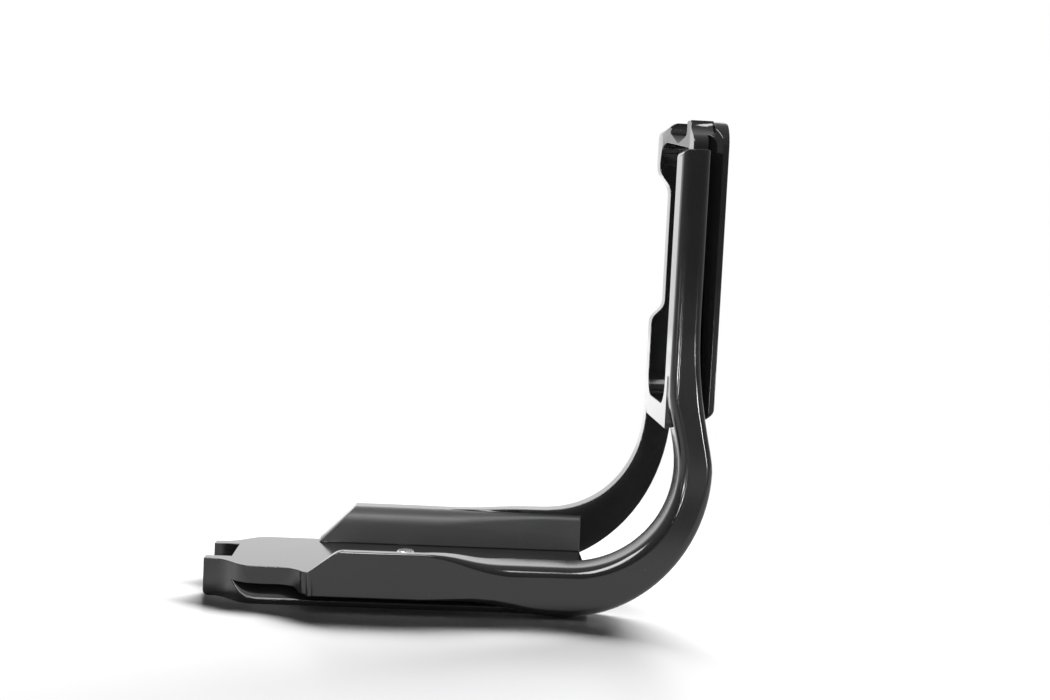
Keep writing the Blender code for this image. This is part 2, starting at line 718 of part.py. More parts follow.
def side_plate():
    """The plate that closes the frame: neck, flange, bridge and crown, less the shallow pocket."""
    plate = prism("neck_form", plate_outline(), "X", PLATE_INNER, FLANGE_INNER + EDGE_BREAK)
    flange = prism("flange_form", flange_outline(), "X", FLANGE_INNER, RIGHT_REACH)
    edge_x = RIGHT_REACH - FLANGE_TOP_EDGE + SKIM
    edge_z = FLANGE_TOP - FLANGE_TOP_EDGE + SKIM
    edge = [
        *arc((edge_x, edge_z), FLANGE_TOP_EDGE, 0, 90, CORNER_STEPS),
        (edge_x, FLANGE_TOP + OVERRUN),
        (RIGHT_REACH + OVERRUN, FLANGE_TOP + OVERRUN),
        (RIGHT_REACH + OVERRUN, edge_z),
    ]
    cut(flange, prism("flange_edge_cutter", edge, "Y", -HALF_DEPTH, HALF_DEPTH))
    bridge = prism(
        "bridge_form",
        [
            (RAIL_INNER, PLATE_BOTTOM),
            (NECK_ROOF, PLATE_BOTTOM),
            (NECK_ROOF, POCKET_BOTTOM + POCKET_CORNER * 2),
            (RAIL_INNER, POCKET_BOTTOM + POCKET_CORNER * 2),
        ],
        "Y",
        FRONT_RAIL_SIDE - OVERRUN,
        REAR_RAIL_SIDE + OVERRUN,
    )
    crown = prism(
        "crown_form",
        [
            (PLATE_INNER, -END_BLOCK_HALF_WIDTH + EDGE_BREAK),
            (RAIL_INNER + CROWN_SLANT, END_NOTCH_HALF_WIDTH),
            (RAIL_INNER, CROWN_REAR),
            (RAIL_INNER, REAR_RAIL_SIDE + OVERRUN / 2),
            (NECK_ROOF, REAR_RAIL_SIDE + OVERRUN / 2),
            (NECK_ROOF, -END_BLOCK_HALF_WIDTH + EDGE_BREAK),
        ],
        "Z",
        SCALLOP_TOP,
        PLATE_TOP + OVERRUN / 4,
    )
    pocket = prism(
        "pocket_cutter",
        rounded(
            [
                (FRONT_RAIL_SIDE, POCKET_BOTTOM, POCKET_CORNER),
                (REAR_RAIL_SIDE, POCKET_BOTTOM, POCKET_CORNER),
                (REAR_RAIL_SIDE, PLATE_TOP - POCKET_REAR_DROP, POCKET_CORNER),
                (FRONT_RAIL_SIDE, PLATE_TOP - POCKET_FRONT_DROP, POCKET_CORNER),
            ]
        ),
        "X",
        RAIL_INNER - OVERRUN,
        POCKET_FLOOR,
    )
    heel = rounded(
        [
            (RAIL_INNER, PLATE_BOTTOM, 0),
            (RIGHT_REACH - PLATE_HEEL_RUN, PLATE_HEEL, 0),
            (RIGHT_REACH, PLATE_HEEL + PLATE_HEEL_RISE, PLATE_HEEL_RUN),
            (RIGHT_REACH, PLATE_HEEL + PLATE_HEEL_RUN * 2, 0),
            (RIGHT_REACH + OVERRUN, PLATE_HEEL + PLATE_HEEL_RUN * 2, 0),
            (RIGHT_REACH + OVERRUN, PLATE_BOTTOM - OVERRUN, 0),
            (RAIL_INNER, PLATE_BOTTOM - OVERRUN, 0),
        ]
    )
    join(plate, flange, bridge, crown)
    cut(
        plate,
        pocket,
        prism("heel_cutter", heel, "Y", -HALF_DEPTH - OVERRUN, HALF_DEPTH + OVERRUN),
    )
    return plate


def groove_section(roof, side):
    """Half width and depth of one groove's corners: a flat roof and a 45 degree flank up to the tip band."""
    reach = HALF_DEPTH + OVERRUN
    flank = DOVETAIL_HALF_WIDTH - (roof - DOVETAIL_TIP)
    return [
        (side * reach, DOVETAIL_TIP),
        (side * DOVETAIL_HALF_WIDTH, DOVETAIL_TIP),
        (side * flank, roof),
        (side * reach, roof),
    ]


def base_groove(side):
    """One groove along the base. Its roof drops under the wall, then runs out where the arm comes down."""
    belly = sweep((ARM_BELLY_START, WALL_UNDERSIDE), (ARM_BELLY_END, ARM_BELLY_BOTTOM), 0)
    shallowest = DOVETAIL_TIP + EDGE_BREAK
    stations = [
        (BASE_LEFT_END - OVERRUN, GROOVE_ROOF),
        (-FLARE_STOP - WALL_END_ROUND, GROOVE_ROOF),
        (-WALL_LEFT_END, WALL_UNDERSIDE - GROOVE_LEDGE),
        *[(x, z - GROOVE_LEDGE) for x, z in belly if z - GROOVE_LEDGE > shallowest],
    ]
    sections = [
        [(x, across, depth) for across, depth in groove_section(roof, side)]
        for x, roof in stations
    ]
    name = "front" if side < 0 else "rear"
    return loft(f"base_groove_{name}_cutter", sections)


def plate_groove(side, lines):
    """One groove down the side plate. It grows shallow where the arm's outer line bulges past its roof."""
    outer = lines[1]
    bottom = PLATE_BOTTOM - NOTCH_CORNER
    bulge = sorted({z for x, z in outer if x > RAIL_OUTER + SKIM and z > bottom})
    sections = []
    for z in [bottom, *bulge, NECK_OUTER_TOP, PLATE_TOP + OVERRUN / 2]:
        surface = crossing(outer, (ARM_BEND_START, z), (1, 0)).x
        roof = RIGHT_REACH - max(NECK_ROOF, surface + GROOVE_LEDGE)
        sections.append(
            [(RIGHT_REACH - depth, across, z) for across, depth in groove_section(roof, side)]
        )
    name = "front" if side < 0 else "rear"
    return loft(f"plate_groove_{name}_cutter", sections)


def top_trim():
    """A block that trims the rear rail, the crown and the neck, a little lower in front of the notch."""
    outline = [
        (-HALF_DEPTH - OVERRUN, PLATE_TOP - FRONT_BLOCK_GAP),
        (0, PLATE_TOP - FRONT_BLOCK_GAP),
        (0, PLATE_TOP),
        (HALF_DEPTH + OVERRUN, PLATE_TOP),
        (HALF_DEPTH + OVERRUN, PLATE_TOP + OVERRUN),
        (-HALF_DEPTH - OVERRUN, PLATE_TOP + OVERRUN),
    ]
    return prism("top_trim_cutter", outline, "X", RAIL_INNER - OVERRUN, RIGHT_REACH + OVERRUN)


def base_notch():
    """The slot open at the base's left end."""
    outline = [
        (BASE_LEFT_END - OVERRUN, -END_NOTCH_HALF_WIDTH),
        (BASE_LEFT_END + END_NOTCH_DEPTH, -END_NOTCH_HALF_WIDTH),
        (BASE_LEFT_END + END_NOTCH_DEPTH, END_NOTCH_HALF_WIDTH),
        (BASE_LEFT_END - OVERRUN, END_NOTCH_HALF_WIDTH),
    ]
    return prism("base_notch_cutter", outline, "Z", -OVERRUN, BASE_THICKNESS + OVERRUN)


def top_notch():
    """The slot open at the side plate's top, with a shallow V floor."""
    outline = rounded(
        [
            (-END_NOTCH_HALF_WIDTH, PLATE_TOP + OVERRUN, 0),
            (-END_NOTCH_HALF_WIDTH, PLATE_TOP - TOP_NOTCH_FRONT_DEPTH, NOTCH_CORNER),
            (0, PLATE_TOP - TOP_NOTCH_MIDDLE_DEPTH, NOTCH_CORNER),
            (END_NOTCH_HALF_WIDTH, PLATE_TOP - TOP_NOTCH_REAR_DEPTH, 0),
            (END_NOTCH_HALF_WIDTH, PLATE_TOP + OVERRUN, 0),
        ]
    )
    return prism("top_notch_cutter", outline, "X", RAIL_INNER - OVERRUN, RIGHT_REACH + OVERRUN)


def screw_bore():
    """The stepped bore of the camera screw, with the groove of the retaining ring."""
    hole = THREAD_DIAMETER / 2 + BORE_CLEARANCE
    return turned(
        "screw_bore_cutter",
        [
            (0, -OVERRUN),
            (COUNTERBORE_DIAMETER / 2, -OVERRUN),
            (COUNTERBORE_DIAMETER / 2, GROOVE_BOTTOM),
            (RING_GROOVE_DIAMETER / 2, GROOVE_BOTTOM),
            (RING_GROOVE_DIAMETER / 2, GROOVE_TOP),
            (COUNTERBORE_DIAMETER / 2, GROOVE_TOP),
            (COUNTERBORE_DIAMETER / 2, SHOULDER),
            (hole, SHOULDER),
            (hole, BASE_THICKNESS + OVERRUN),
            (0, BASE_THICKNESS + OVERRUN),
        ],
    )


def bracket_body():
    """The one machined piece."""
    body = base_slab()
    body.name = "bracket_body"
    flare = prism("flare_form", flare_outline(), "Z", WALL_UNDERSIDE + EDGE_BREAK, BASE_THICKNESS)
    join(body, flare, front_side(), back_side(), side_plate())
    cut(
        body,
        rail_corner(
            "crown_corner_cutter",
            PLATE_TOP,
            REAR_RAIL_CORNER,
            0,
            HALF_DEPTH + OVERRUN,
        ),
        base_groove(-1),
        base_groove(1),
        plate_groove(-1, front_lines()),
        plate_groove(1, back_lines()),
        top_trim(),
        base_notch(),
        top_notch(),
        screw_bore(),
    )
    return body


def hexagon(across_flats):
    """Corners of a hexagon about the screw axis."""
    radius = across_flats / math.sqrt(3)
    return arc((0, 0), radius, 0, 300, 5)


def camera_screw():
    """The captive screw: a flat head with a hexagon socket below and a chamfered tip above."""
    radius = THREAD_DIAMETER / 2
    head = HEAD_DIAMETER / 2
    head_top = HEAD_BOTTOM + HEAD_HEIGHT
    tip = BASE_THICKNESS + TIP_HEIGHT
    screw = turned(
        "camera_screw",
        [
            (0, HEAD_BOTTOM),
            (head - HEAD_CHAMFER, HEAD_BOTTOM),
            (head, HEAD_BOTTOM + HEAD_CHAMFER),
            (head, head_top - HEAD_CHAMFER),
            (head - HEAD_CHAMFER, head_top),
            (radius, head_top),
            (radius, tip - TIP_CHAMFER),
            (radius - TIP_CHAMFER, tip),
            (0, tip),
        ],
    )
    cut(
        screw,
        prism(
            "socket_cutter",
            hexagon(SOCKET_ACROSS_FLATS),
            "Z",
            HEAD_BOTTOM - OVERRUN,
            HEAD_BOTTOM + SOCKET_DEPTH,
        ),
    )
    return screw


def slip_washer():
    """The plain washer between the screw's head and the shoulder of the bore."""
    inner = THREAD_DIAMETER / 2 + BORE_CLEARANCE
    outer = WASHER_DIAMETER / 2
    top = WASHER_BOTTOM + WASHER_THICKNESS
    return turned(
        "slip_washer",
        [(inner, WASHER_BOTTOM), (outer, WASHER_BOTTOM), (outer, top), (inner, top)],
    )


def retaining_ring():
    """The open spring ring that sits in the bore's groove and keeps the screw in the base."""
    inner = RING_INNER_DIAMETER / 2
    outer = RING_GROOVE_DIAMETER / 2 - RING_SIDE_CLEARANCE
    half = RING_GAP_DEGREES / 2
    steps = BEND_STEPS * 3
    outline = [
        *arc((0, 0), outer, half, 360 - half, steps),
        *reversed(arc((0, 0), inner, half, 360 - half, steps)),
    ]
    return prism("retaining_ring", outline, "Z", RING_BOTTOM, RING_BOTTOM + RING_THICKNESS)


def finish(obj, material, parent, smooth_angle=30):
    """Give a piece its material, its parent and smooth shading between its sharp edges."""
    obj.data.materials.append(material)
    obj.parent = parent
    obj.data.shade_smooth()
    obj.data.set_sharp_from_angle(angle=math.radians(smooth_angle))


def main():
    clear_scene()
    aluminium = make_material("black_hard_anodised_aluminium", (0.02, 0.02, 0.022), 0.9, 0.38)
    steel = make_material("stainless_steel", (0.62, 0.6, 0.57), 1.0, 0.25)
    nylon = make_material("white_nylon", (0.8, 0.79, 0.75), 0.0, 0.5)
    spring = make_material("spring_steel", (0.35, 0.34, 0.33), 1.0, 0.35)

    screw_axis = bpy.data.objects.new("screw_axis", None)
    bpy.context.scene.collection.objects.link(screw_axis)
    screw_axis.location.x = (LEFT_REACH - RIGHT_REACH) / 2

    finish(bracket_body(), aluminium, screw_axis)
    finish(camera_screw(), steel, screw_axis)
    finish(slip_washer(), nylon, screw_axis)
    finish(retaining_ring(), spring, screw_axis)
    for helper in bpy.data.objects:
        if helper.parent is None and helper is not screw_axis:
            helper.parent = screw_axis


main()
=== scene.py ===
"""Looks of a camera L-bracket: a machined body, its captive screw, slip washer and spring ring.

Lengths are metres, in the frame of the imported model: +Z up, +X towards the side plate and +Y
towards the rear lip. Every piece keeps its place in its mesh, and its object stays at the origin.
"""
import json
import logging
import math
from dataclasses import dataclass
from enum import Enum
from typing import Sequence, Union

import bmesh
import bpy
from mathutils import Matrix, Vector

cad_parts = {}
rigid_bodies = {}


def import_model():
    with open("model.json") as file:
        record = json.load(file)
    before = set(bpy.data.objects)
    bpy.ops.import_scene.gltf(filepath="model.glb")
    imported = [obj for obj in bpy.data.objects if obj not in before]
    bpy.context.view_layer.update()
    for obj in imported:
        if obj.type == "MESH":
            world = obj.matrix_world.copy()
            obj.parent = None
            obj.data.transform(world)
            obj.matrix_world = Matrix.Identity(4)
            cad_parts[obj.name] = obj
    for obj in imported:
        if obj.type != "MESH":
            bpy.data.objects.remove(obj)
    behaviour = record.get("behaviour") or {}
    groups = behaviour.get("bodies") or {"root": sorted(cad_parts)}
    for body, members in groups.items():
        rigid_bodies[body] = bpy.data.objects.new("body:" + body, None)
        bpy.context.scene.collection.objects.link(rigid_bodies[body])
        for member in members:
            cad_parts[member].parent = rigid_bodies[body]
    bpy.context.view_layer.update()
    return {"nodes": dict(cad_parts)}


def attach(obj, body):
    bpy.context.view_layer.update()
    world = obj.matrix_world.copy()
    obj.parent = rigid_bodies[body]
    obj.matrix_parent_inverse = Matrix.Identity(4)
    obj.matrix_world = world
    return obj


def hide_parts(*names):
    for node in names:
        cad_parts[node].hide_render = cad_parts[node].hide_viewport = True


for leftover in list(bpy.data.objects):
    bpy.data.objects.remove(leftover)
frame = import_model()

MM = 0.001
LOG = logging.getLogger("bracket")

Point = tuple[float, float, float]
Colour = tuple[float, float, float, float]
Span = tuple[float, float]
Operand = Union["Value", float]

BLACK: Colour = (0.0, 0.0, 0.0, 1.0)
WHITE: Colour = (1.0, 1.0, 1.0, 1.0)
SCREW_AXIS: tuple[float, float] = (-13.15 * MM, 0.0)


class Body(Enum):
    """The bodies that pieces ride on."""

    BRACKET = "bracket"
    WASHER = "washer"
    SCREW = "screw"


class Slot(Enum):
    """The record's material slots."""

    ANODISED = "black_anodised"
    STAINLESS = "stainless"
    NYLON = "nylon"
    SPRING = "spring_steel"


class Value:
    """One number socket of a shader, which takes part in Python arithmetic."""

    def __init__(self, recipe: "Recipe", socket: bpy.types.NodeSocket) -> None:
        """Wrap an output socket of a recipe's node tree."""
        self.recipe = recipe
        self.socket = socket

    def __add__(self, other: Operand) -> "Value":
        """The sum."""
        return self.recipe.math("ADD", self, other)

    def __radd__(self, other: Operand) -> "Value":
        """The sum, with the number first."""
        return self.recipe.math("ADD", other, self)

    def __sub__(self, other: Operand) -> "Value":
        """The difference."""
        return self.recipe.math("SUBTRACT", self, other)

    def __rsub__(self, other: Operand) -> "Value":
        """The difference, with the number first."""
        return self.recipe.math("SUBTRACT", other, self)

    def __mul__(self, other: Operand) -> "Value":
        """The product."""
        return self.recipe.math("MULTIPLY", self, other)

    def __rmul__(self, other: Operand) -> "Value":
        """The product, with the number first."""
        return self.recipe.math("MULTIPLY", other, self)

    def __gt__(self, other: Operand) -> "Value":
        """One where this is greater, else zero."""
        return self.recipe.math("GREATER_THAN", self, other)

    def maximum(self, other: Operand) -> "Value":
        """The larger of the two."""
        return self.recipe.math("MAXIMUM", self, other)

    def root(self) -> "Value":
        """The square root."""
        return self.recipe.math("SQRT", self)

    def rise(self, low: float, high: float) -> "Value":
        """A smooth step.

        Args:
            low: Where it is still zero.
            high: Where it has become one.

        Returns:
            A value from zero to one.
        """
        settings = {"interpolation_type": "SMOOTHSTEP"}
        inputs = {"Value": self, "From Min": low, "From Max": high}
        return self.recipe.node("ShaderNodeMapRange", settings, inputs)["Result"]


class Recipe:
    """The node tree of a material or of the world, under construction."""

    def __init__(self, owner: bpy.types.Material | bpy.types.World) -> None:
        """Start with an empty tree.

        Args:
            owner: The material or world that the tree belongs to.
        """
        self.owner = owner
        owner.use_nodes = True
        self.tree = owner.node_tree
        self.tree.nodes.clear()

    def node(
        self,
        kind: str,
        settings: dict[str, object] | None = None,
        inputs: dict[str | int, object] | None = None,
    ) -> dict[str | int, Value]:
        """Add any node.

        Args:
            kind: The node's type.
            settings: Its own properties, set first.
            inputs: Values or links for its sockets, by name or number.

        Returns:
            Its outputs by name, and by number where names repeat.
        """
        made = self.tree.nodes.new(kind)
        for key, setting in (settings or {}).items():
            setattr(made, key, setting)
        for key, source in (inputs or {}).items():
            if isinstance(source, Value):
                self.tree.links.new(source.socket, made.inputs[key])
            else:
                made.inputs[key].default_value = source
        outputs: dict[str | int, Value] = {}
        for number, output in enumerate(made.outputs):
            outputs[number] = Value(self, output)
            if output.enabled:
                outputs[output.name] = outputs[number]
        return outputs

    def math(self, operation: str, *operands: Operand) -> Value:
        """The result of a new Math node with this operation, and these inputs in order."""
        inputs = dict(enumerate(operands))
        return self.node("ShaderNodeMath", {"operation": operation}, inputs)["Value"]

    def place(self) -> Value:
        """The Object coordinates of the shaded point, in metres."""
        return self.node("ShaderNodeTexCoord")["Object"]

    def moved(self, scale: Point, turn: Point = (0.0, 0.0, 0.0)) -> Value:
        """Object coordinates, with each axis stretched by its scale, and turned by radians."""
        inputs = {"Vector": self.place(), "Rotation": turn, "Scale": scale}
        return self.node("ShaderNodeMapping", None, inputs)["Vector"]

    def noise(self, where: Value, scale: float, detail: float) -> Value:
        """Noise of about zero to one at coordinates: features to the unit, octaves of detail."""
        inputs = {"Vector": where, "Scale": scale, "Detail": detail}
        return self.node("ShaderNodeTexNoise", {"noise_dimensions": "3D"}, inputs)[0]

    def axes(self, where: Value) -> tuple[Value, Value, Value]:
        """The X, Y and Z of coordinates."""
        split = self.node("ShaderNodeSeparateXYZ", None, {"Vector": where})
        return split["X"], split["Y"], split["Z"]

    def mix(self, share: Operand, first: Value | Colour, second: Value | Colour) -> Value:
        """Two colours mixed, by the share of the second."""
        inputs = {0: share, 6: first, 7: second}
        return self.node("ShaderNodeMix", {"data_type": "RGBA"}, inputs)[2]

    def bump(self, height: Value, distance: float) -> Value:
        """The normal bent by a height from zero to one, where one is so many metres tall."""
        inputs = {"Height": height, "Distance": distance, "Strength": 1.0}
        return self.node("ShaderNodeBump", None, inputs)["Normal"]

    def surface(self, **inputs: object) -> bpy.types.Material:
        """Finish with one Principled shader.

        Args:
            inputs: Its sockets by name, with underscores for spaces.

        Returns:
            The material.
        """
        sockets = {name.replace("_", " "): source for name, source in inputs.items()}
        shader = self.node("ShaderNodeBsdfPrincipled", None, sockets)["BSDF"]
        self.node("ShaderNodeOutputMaterial", None, {"Surface": shader})
        return self.owner


@dataclass(frozen=True)
class AnodisedFinish:
    """Black hard anodising over aluminium with fine milling, with cutter lines along the lip, and a
    painted sheen on the lip.
    """

    black: Colour = (0.011, 0.011, 0.0125, 1.0)
    faded: Colour = (0.014, 0.0138, 0.0142, 1.0)
    # Painted sheen: the lip's lighter colour stands in for the light that its milling lines
    # scatter.
    painted_lip_sheen: Colour = (0.050, 0.050, 0.052, 1.0)
    worn: Colour = (0.32, 0.31, 0.30, 1.0)
    roughness: float = 0.13
    ior: float = 1.6
    cloud_size: float = 9.0 * MM
    cloud_span: Span = (0.3, 0.7)
    cloud_roughness: float = 0.05
    grain_size: float = 0.20 * MM
    grain_height: float = 0.0008 * MM
    line_pitch: float = 0.35 * MM
    line_height: float = 0.030 * MM
    line_stretch: float = 2.5
    line_roughness: float = 0.18
    milled_roughness: float = 0.28
    lip_front: Span = (14.0 * MM, 14.3 * MM)
    lip_rear: Span = (18.0 * MM, 20.5 * MM)
    lip_foot: Span = (10.0 * MM, 10.4 * MM)
    lip_crest: Span = (19.72 * MM, 19.9 * MM)
    lip_end: Span = (36.0 * MM, 36.3 * MM)
    knock_spacing: float = 5.0 * MM
    knock_radius: float = 0.11 * MM
    knock_core: float = 0.5
    knock_free: float = 0.45
    knock_wear: float = 0.8
    scuff_centre: Point = (28.5 * MM, 12.5 * MM, 10.2 * MM)
    scuff_radius: float = 4.0 * MM
    scuff_core: float = 0.3
    scuff_stretch: Point = (350.0, 5200.0, 5200.0)
    scuff_turn: Point = (0.3, 0.2, 0.5)
    scuff_span: Span = (0.66, 0.72)
    scuff_wear: float = 0.55
    wear_depth: float = 0.006 * MM
    wear_roughness: float = 0.2

    def lip_mask(self, recipe: Recipe) -> Value:
        """One on the lip's front face and rounded crest, zero elsewhere.

        Args:
            recipe: The material under construction.

        Returns:
            The mask.
        """
        x, y, z = recipe.axes(recipe.place())
        depth = y.rise(*self.lip_front) * (1.0 - y.rise(*self.lip_rear))
        height = z.rise(*self.lip_foot) * (1.0 - z.rise(*self.lip_crest))
        return depth * height * (1.0 - x.rise(*self.lip_end))

    def knocks(self, recipe: Recipe) -> Value:
        """Sparse small spots where the coating is knocked through.

        Args:
            recipe: The material under construction.

        Returns:
            The mask.
        """
        inputs = {"Vector": recipe.place(), "Scale": 1.0 / self.knock_spacing}
        cells = recipe.node("ShaderNodeTexVoronoi", None, inputs)
        reach = self.knock_radius / self.knock_spacing
        spot = 1.0 - cells["Distance"].rise(reach * self.knock_core, reach)
        split = recipe.node("ShaderNodeSeparateColor", None, {"Color": cells["Color"]})
        return spot * (split["Red"] > self.knock_free)

    def scuffs(self, recipe: Recipe) -> Value:
        """A few hair scratches beside the lip's right end.

        Args:
            recipe: The material under construction.

        Returns:
            The mask.
        """
        inputs = {0: recipe.place(), 1: self.scuff_centre}
        offset = recipe.node("ShaderNodeVectorMath", {"operation": "SUBTRACT"}, inputs)["Vector"]
        far = recipe.node("ShaderNodeVectorMath", {"operation": "LENGTH"}, {0: offset})["Value"]
        near = 1.0 - far.rise(self.scuff_radius * self.scuff_core, self.scuff_radius)
        along = recipe.moved(self.scuff_stretch, self.scuff_turn)
        streaks = recipe.noise(along, 1.0, detail=1.0)
        return near * streaks.rise(*self.scuff_span)

    def build(self, name: str) -> bpy.types.Material:
        """Make the material.

        Args:
            name: Its name.

        Returns:
            The material.
        """
        recipe = Recipe(bpy.data.materials.new(name))
        place = recipe.place()
        grain = recipe.noise(place, 1.0 / self.grain_size, detail=3.0)
        along = (self.line_stretch, 1.0 / self.line_pitch, 1.0 / self.line_pitch)
        lines = recipe.noise(recipe.moved(along), 1.0, detail=2.0)
        cloud = recipe.noise(place, 1.0 / self.cloud_size, detail=3.0)
        lip = self.lip_mask(recipe)
        wear = self.knocks(recipe) * self.knock_wear
        wear = wear.maximum(self.scuffs(recipe) * self.scuff_wear)
        height = grain * self.grain_height + lines * lip * self.line_height
        roughness = self.roughness + (cloud - 0.5) * self.cloud_roughness
        roughness = roughness + lip * (self.milled_roughness + lines * self.line_roughness)
        shade = recipe.mix(cloud.rise(*self.cloud_span), self.black, self.faded)
        # Painted sheen: the lip is mixed towards its lighter colour, for the light that its milling
        # lines scatter.
        shade = recipe.mix(lip, shade, self.painted_lip_sheen)
        return recipe.surface(
            Base_Color=recipe.mix(wear, shade, self.worn),
            Roughness=roughness + wear * self.wear_roughness,
            IOR=self.ior,
            Normal=recipe.bump(height - wear * self.wear_depth, 1.0),
        )


@dataclass(frozen=True)
class TurnedFinish:
    """Bare metal off the lathe, with fine rings about the screw's axis."""

    colour: Colour
    roughness: float
    axis: tuple[float, float] = SCREW_AXIS
    ring_pitch: float = 0.25 * MM
    ring_height: float = 0.004 * MM
    smear_size: float = 0.8 * MM
    smear_span: Span = (0.35, 0.75)
    smear_shade: float = 0.93
    smear_roughness: float = 0.12

    def build(self, name: str) -> bpy.types.Material:
        """Make the material.

        Args:
            name: Its name.

        Returns:
            The material.
        """
        recipe = Recipe(bpy.data.materials.new(name))
        x, y, z = recipe.axes(recipe.place())
        out_x = x - self.axis[0]
        out_y = y - self.axis[1]
        radius = (out_x * out_x + out_y * out_y).root()
        inputs = {"X": radius, "Y": z, "Z": 0.0}
        where = recipe.node("ShaderNodeCombineXYZ", None, inputs)["Vector"]
        rings = recipe.noise(where, 1.0 / self.ring_pitch, detail=1.0)
        smear = recipe.noise(recipe.place(), 1.0 / self.smear_size, detail=2.0)
        darker = (*(channel * self.smear_shade for channel in self.colour[:3]), 1.0)
        return recipe.surface(
            Base_Color=recipe.mix(smear.rise(*self.smear_span), self.colour, darker),
            Metallic=1.0,
            Roughness=self.roughness + (smear - 0.5) * self.smear_roughness,
            Normal=recipe.bump(rings, self.ring_height),
        )


@dataclass(frozen=True)
class NylonFinish:
    """Natural nylon, milky and waxy."""

    colour: Colour = (0.78, 0.76, 0.70, 1.0)
    cloudy: Colour = (0.70, 0.68, 0.61, 1.0)
    roughness: float = 0.42
    cloud_size: float = 1.5 * MM
    cloud_roughness: float = 0.1
    cloud_height: float = 0.003 * MM
    milkiness: float = 0.15
    milk_colour: Point = (1.0, 0.9, 0.8)
    milk_reach: float = 0.4 * MM

    def build(self, name: str) -> bpy.types.Material:
        """Make the material.

        Args:
            name: Its name.

        Returns:
            The material.
        """
        recipe = Recipe(bpy.data.materials.new(name))
        cloud = recipe.noise(recipe.place(), 1.0 / self.cloud_size, detail=3.0)
        return recipe.surface(
            Base_Color=recipe.mix(cloud, self.colour, self.cloudy),
            Roughness=self.roughness + (cloud - 0.5) * self.cloud_roughness,
            Subsurface_Weight=self.milkiness,
            Subsurface_Radius=self.milk_colour,
            Subsurface_Scale=self.milk_reach,
            Normal=recipe.bump(cloud, self.cloud_height),
        )


class Piece:
    """A finished mesh object and how it belongs to the model."""

    def __init__(self, name: str, builder: bmesh.types.BMesh) -> None:
        """Turn a bmesh into an object at the origin.

        Args:
            name: The piece's name.
            builder: Its shape, which is freed here.
        """
        mesh = bpy.data.meshes.new(name)
        builder.to_mesh(mesh)
        builder.free()
        self.object = bpy.data.objects.new(name, mesh)
        bpy.context.scene.collection.objects.link(self.object)

    def shade(self, degrees: float) -> "Piece":
        """Shade smoothly between edges sharper than an angle, with flat faces kept flat.

        Args:
            degrees: The angle.

        Returns:
            The piece.
        """
        self.object.data.shade_smooth()
        self.object.data.set_sharp_from_angle(angle=math.radians(degrees))
        weighted = self.object.modifiers.new("Flat faces stay flat", "WEIGHTED_NORMAL")
        weighted.keep_sharp = True
        return self

    def dress(self, material: bpy.types.Material, slot: Slot) -> "Piece":
        """Give the piece its finish.

        Args:
            material: The finish.
            slot: The record's slot that it belongs to; not used.

        Returns:
            The piece.
        """
        self.object.data.materials.clear()
        self.object.data.materials.append(material)
        return self

    def join_model(self, body: Body, *nodes: str) -> "Piece":
        """Ride on a body, stand for CAD nodes, and report the piece.

        Args:
            body: The body.
            nodes: The nodes that it replaces.

        Returns:
            The piece.
        """
        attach(self.object, body.value)
        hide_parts(*nodes)
        faces = len(self.object.data.polygons)
        lowest = min(corner[2] for corner in self.object.bound_box)
        LOG.info("%s: %d faces, lowest %.4f m", self.object.name, faces, lowest)
        return self


def round_edges(
    builder: bmesh.types.BMesh,
    edges: Sequence[bmesh.types.BMEdge],
    offset: float,
    segments: int,
    clamp: bool,
) -> None:
    """Round edges over.

    Args:
        builder: The shape.
        edges: The edges.
        offset: How far the rounding reaches.
        segments: Its steps.
        clamp: Whether it stops where it would meet another.
    """
    bmesh.ops.bevel(
        builder,
        geom=edges,
        offset=offset,
        offset_type="OFFSET",
        affect="EDGES",
        segments=segments,
        profile=0.5,
        material=-1,
        clamp_overlap=clamp,
    )


@dataclass
class MachinedBody:
    """The one-piece bracket: the model's own form, its edges broken by a finishing cutter."""

    node: str = "bracket_body"
    weld: float = 0.015 * MM
    flat_angle: float = 0.4
    edge_break: float = 0.22 * MM
    sharp_angle: float = 32.0
    smooth_angle: float = 35.0
    sliver: float = 0.0005 * MM
    segments: int = 2

    def blank(self) -> bmesh.types.BMesh:
        """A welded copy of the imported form, with its flat faces made whole.

        Returns:
            The copy.
        """
        builder = bmesh.new()
        builder.from_mesh(frame["nodes"][self.node].data)
        bmesh.ops.remove_doubles(builder, verts=builder.verts, dist=self.weld)
        bmesh.ops.dissolve_degenerate(builder, dist=self.weld, edges=builder.edges)
        bmesh.ops.dissolve_limit(
            builder,
            angle_limit=math.radians(self.flat_angle),
            verts=builder.verts,
            edges=builder.edges,
        )
        return builder

    def break_edges(self, builder: bmesh.types.BMesh) -> None:
        """Bevel the outer edges that are sharper than the fillets.

        Args:
            builder: The shape.
        """
        limit = math.radians(self.sharp_angle)
        sharp = [
            edge
            for edge in builder.edges
            if len(edge.link_faces) == 2 and edge.calc_face_angle_signed(0.0) > limit
        ]
        round_edges(builder, sharp, self.edge_break, self.segments, False)
        bmesh.ops.dissolve_degenerate(builder, dist=self.sliver, edges=builder.edges)

    def build(self, finish: AnodisedFinish) -> Piece:
        """Make and dress the body.

        Args:
            finish: Its finish.

        Returns:
            The piece.
        """
        builder = self.blank()
        self.break_edges(builder)
        piece = Piece("machined_body", builder).shade(self.smooth_angle)
        piece.dress(finish.build("black_hard_anodising"), Slot.ANODISED)
        return piece.join_model(Body.BRACKET, self.node)


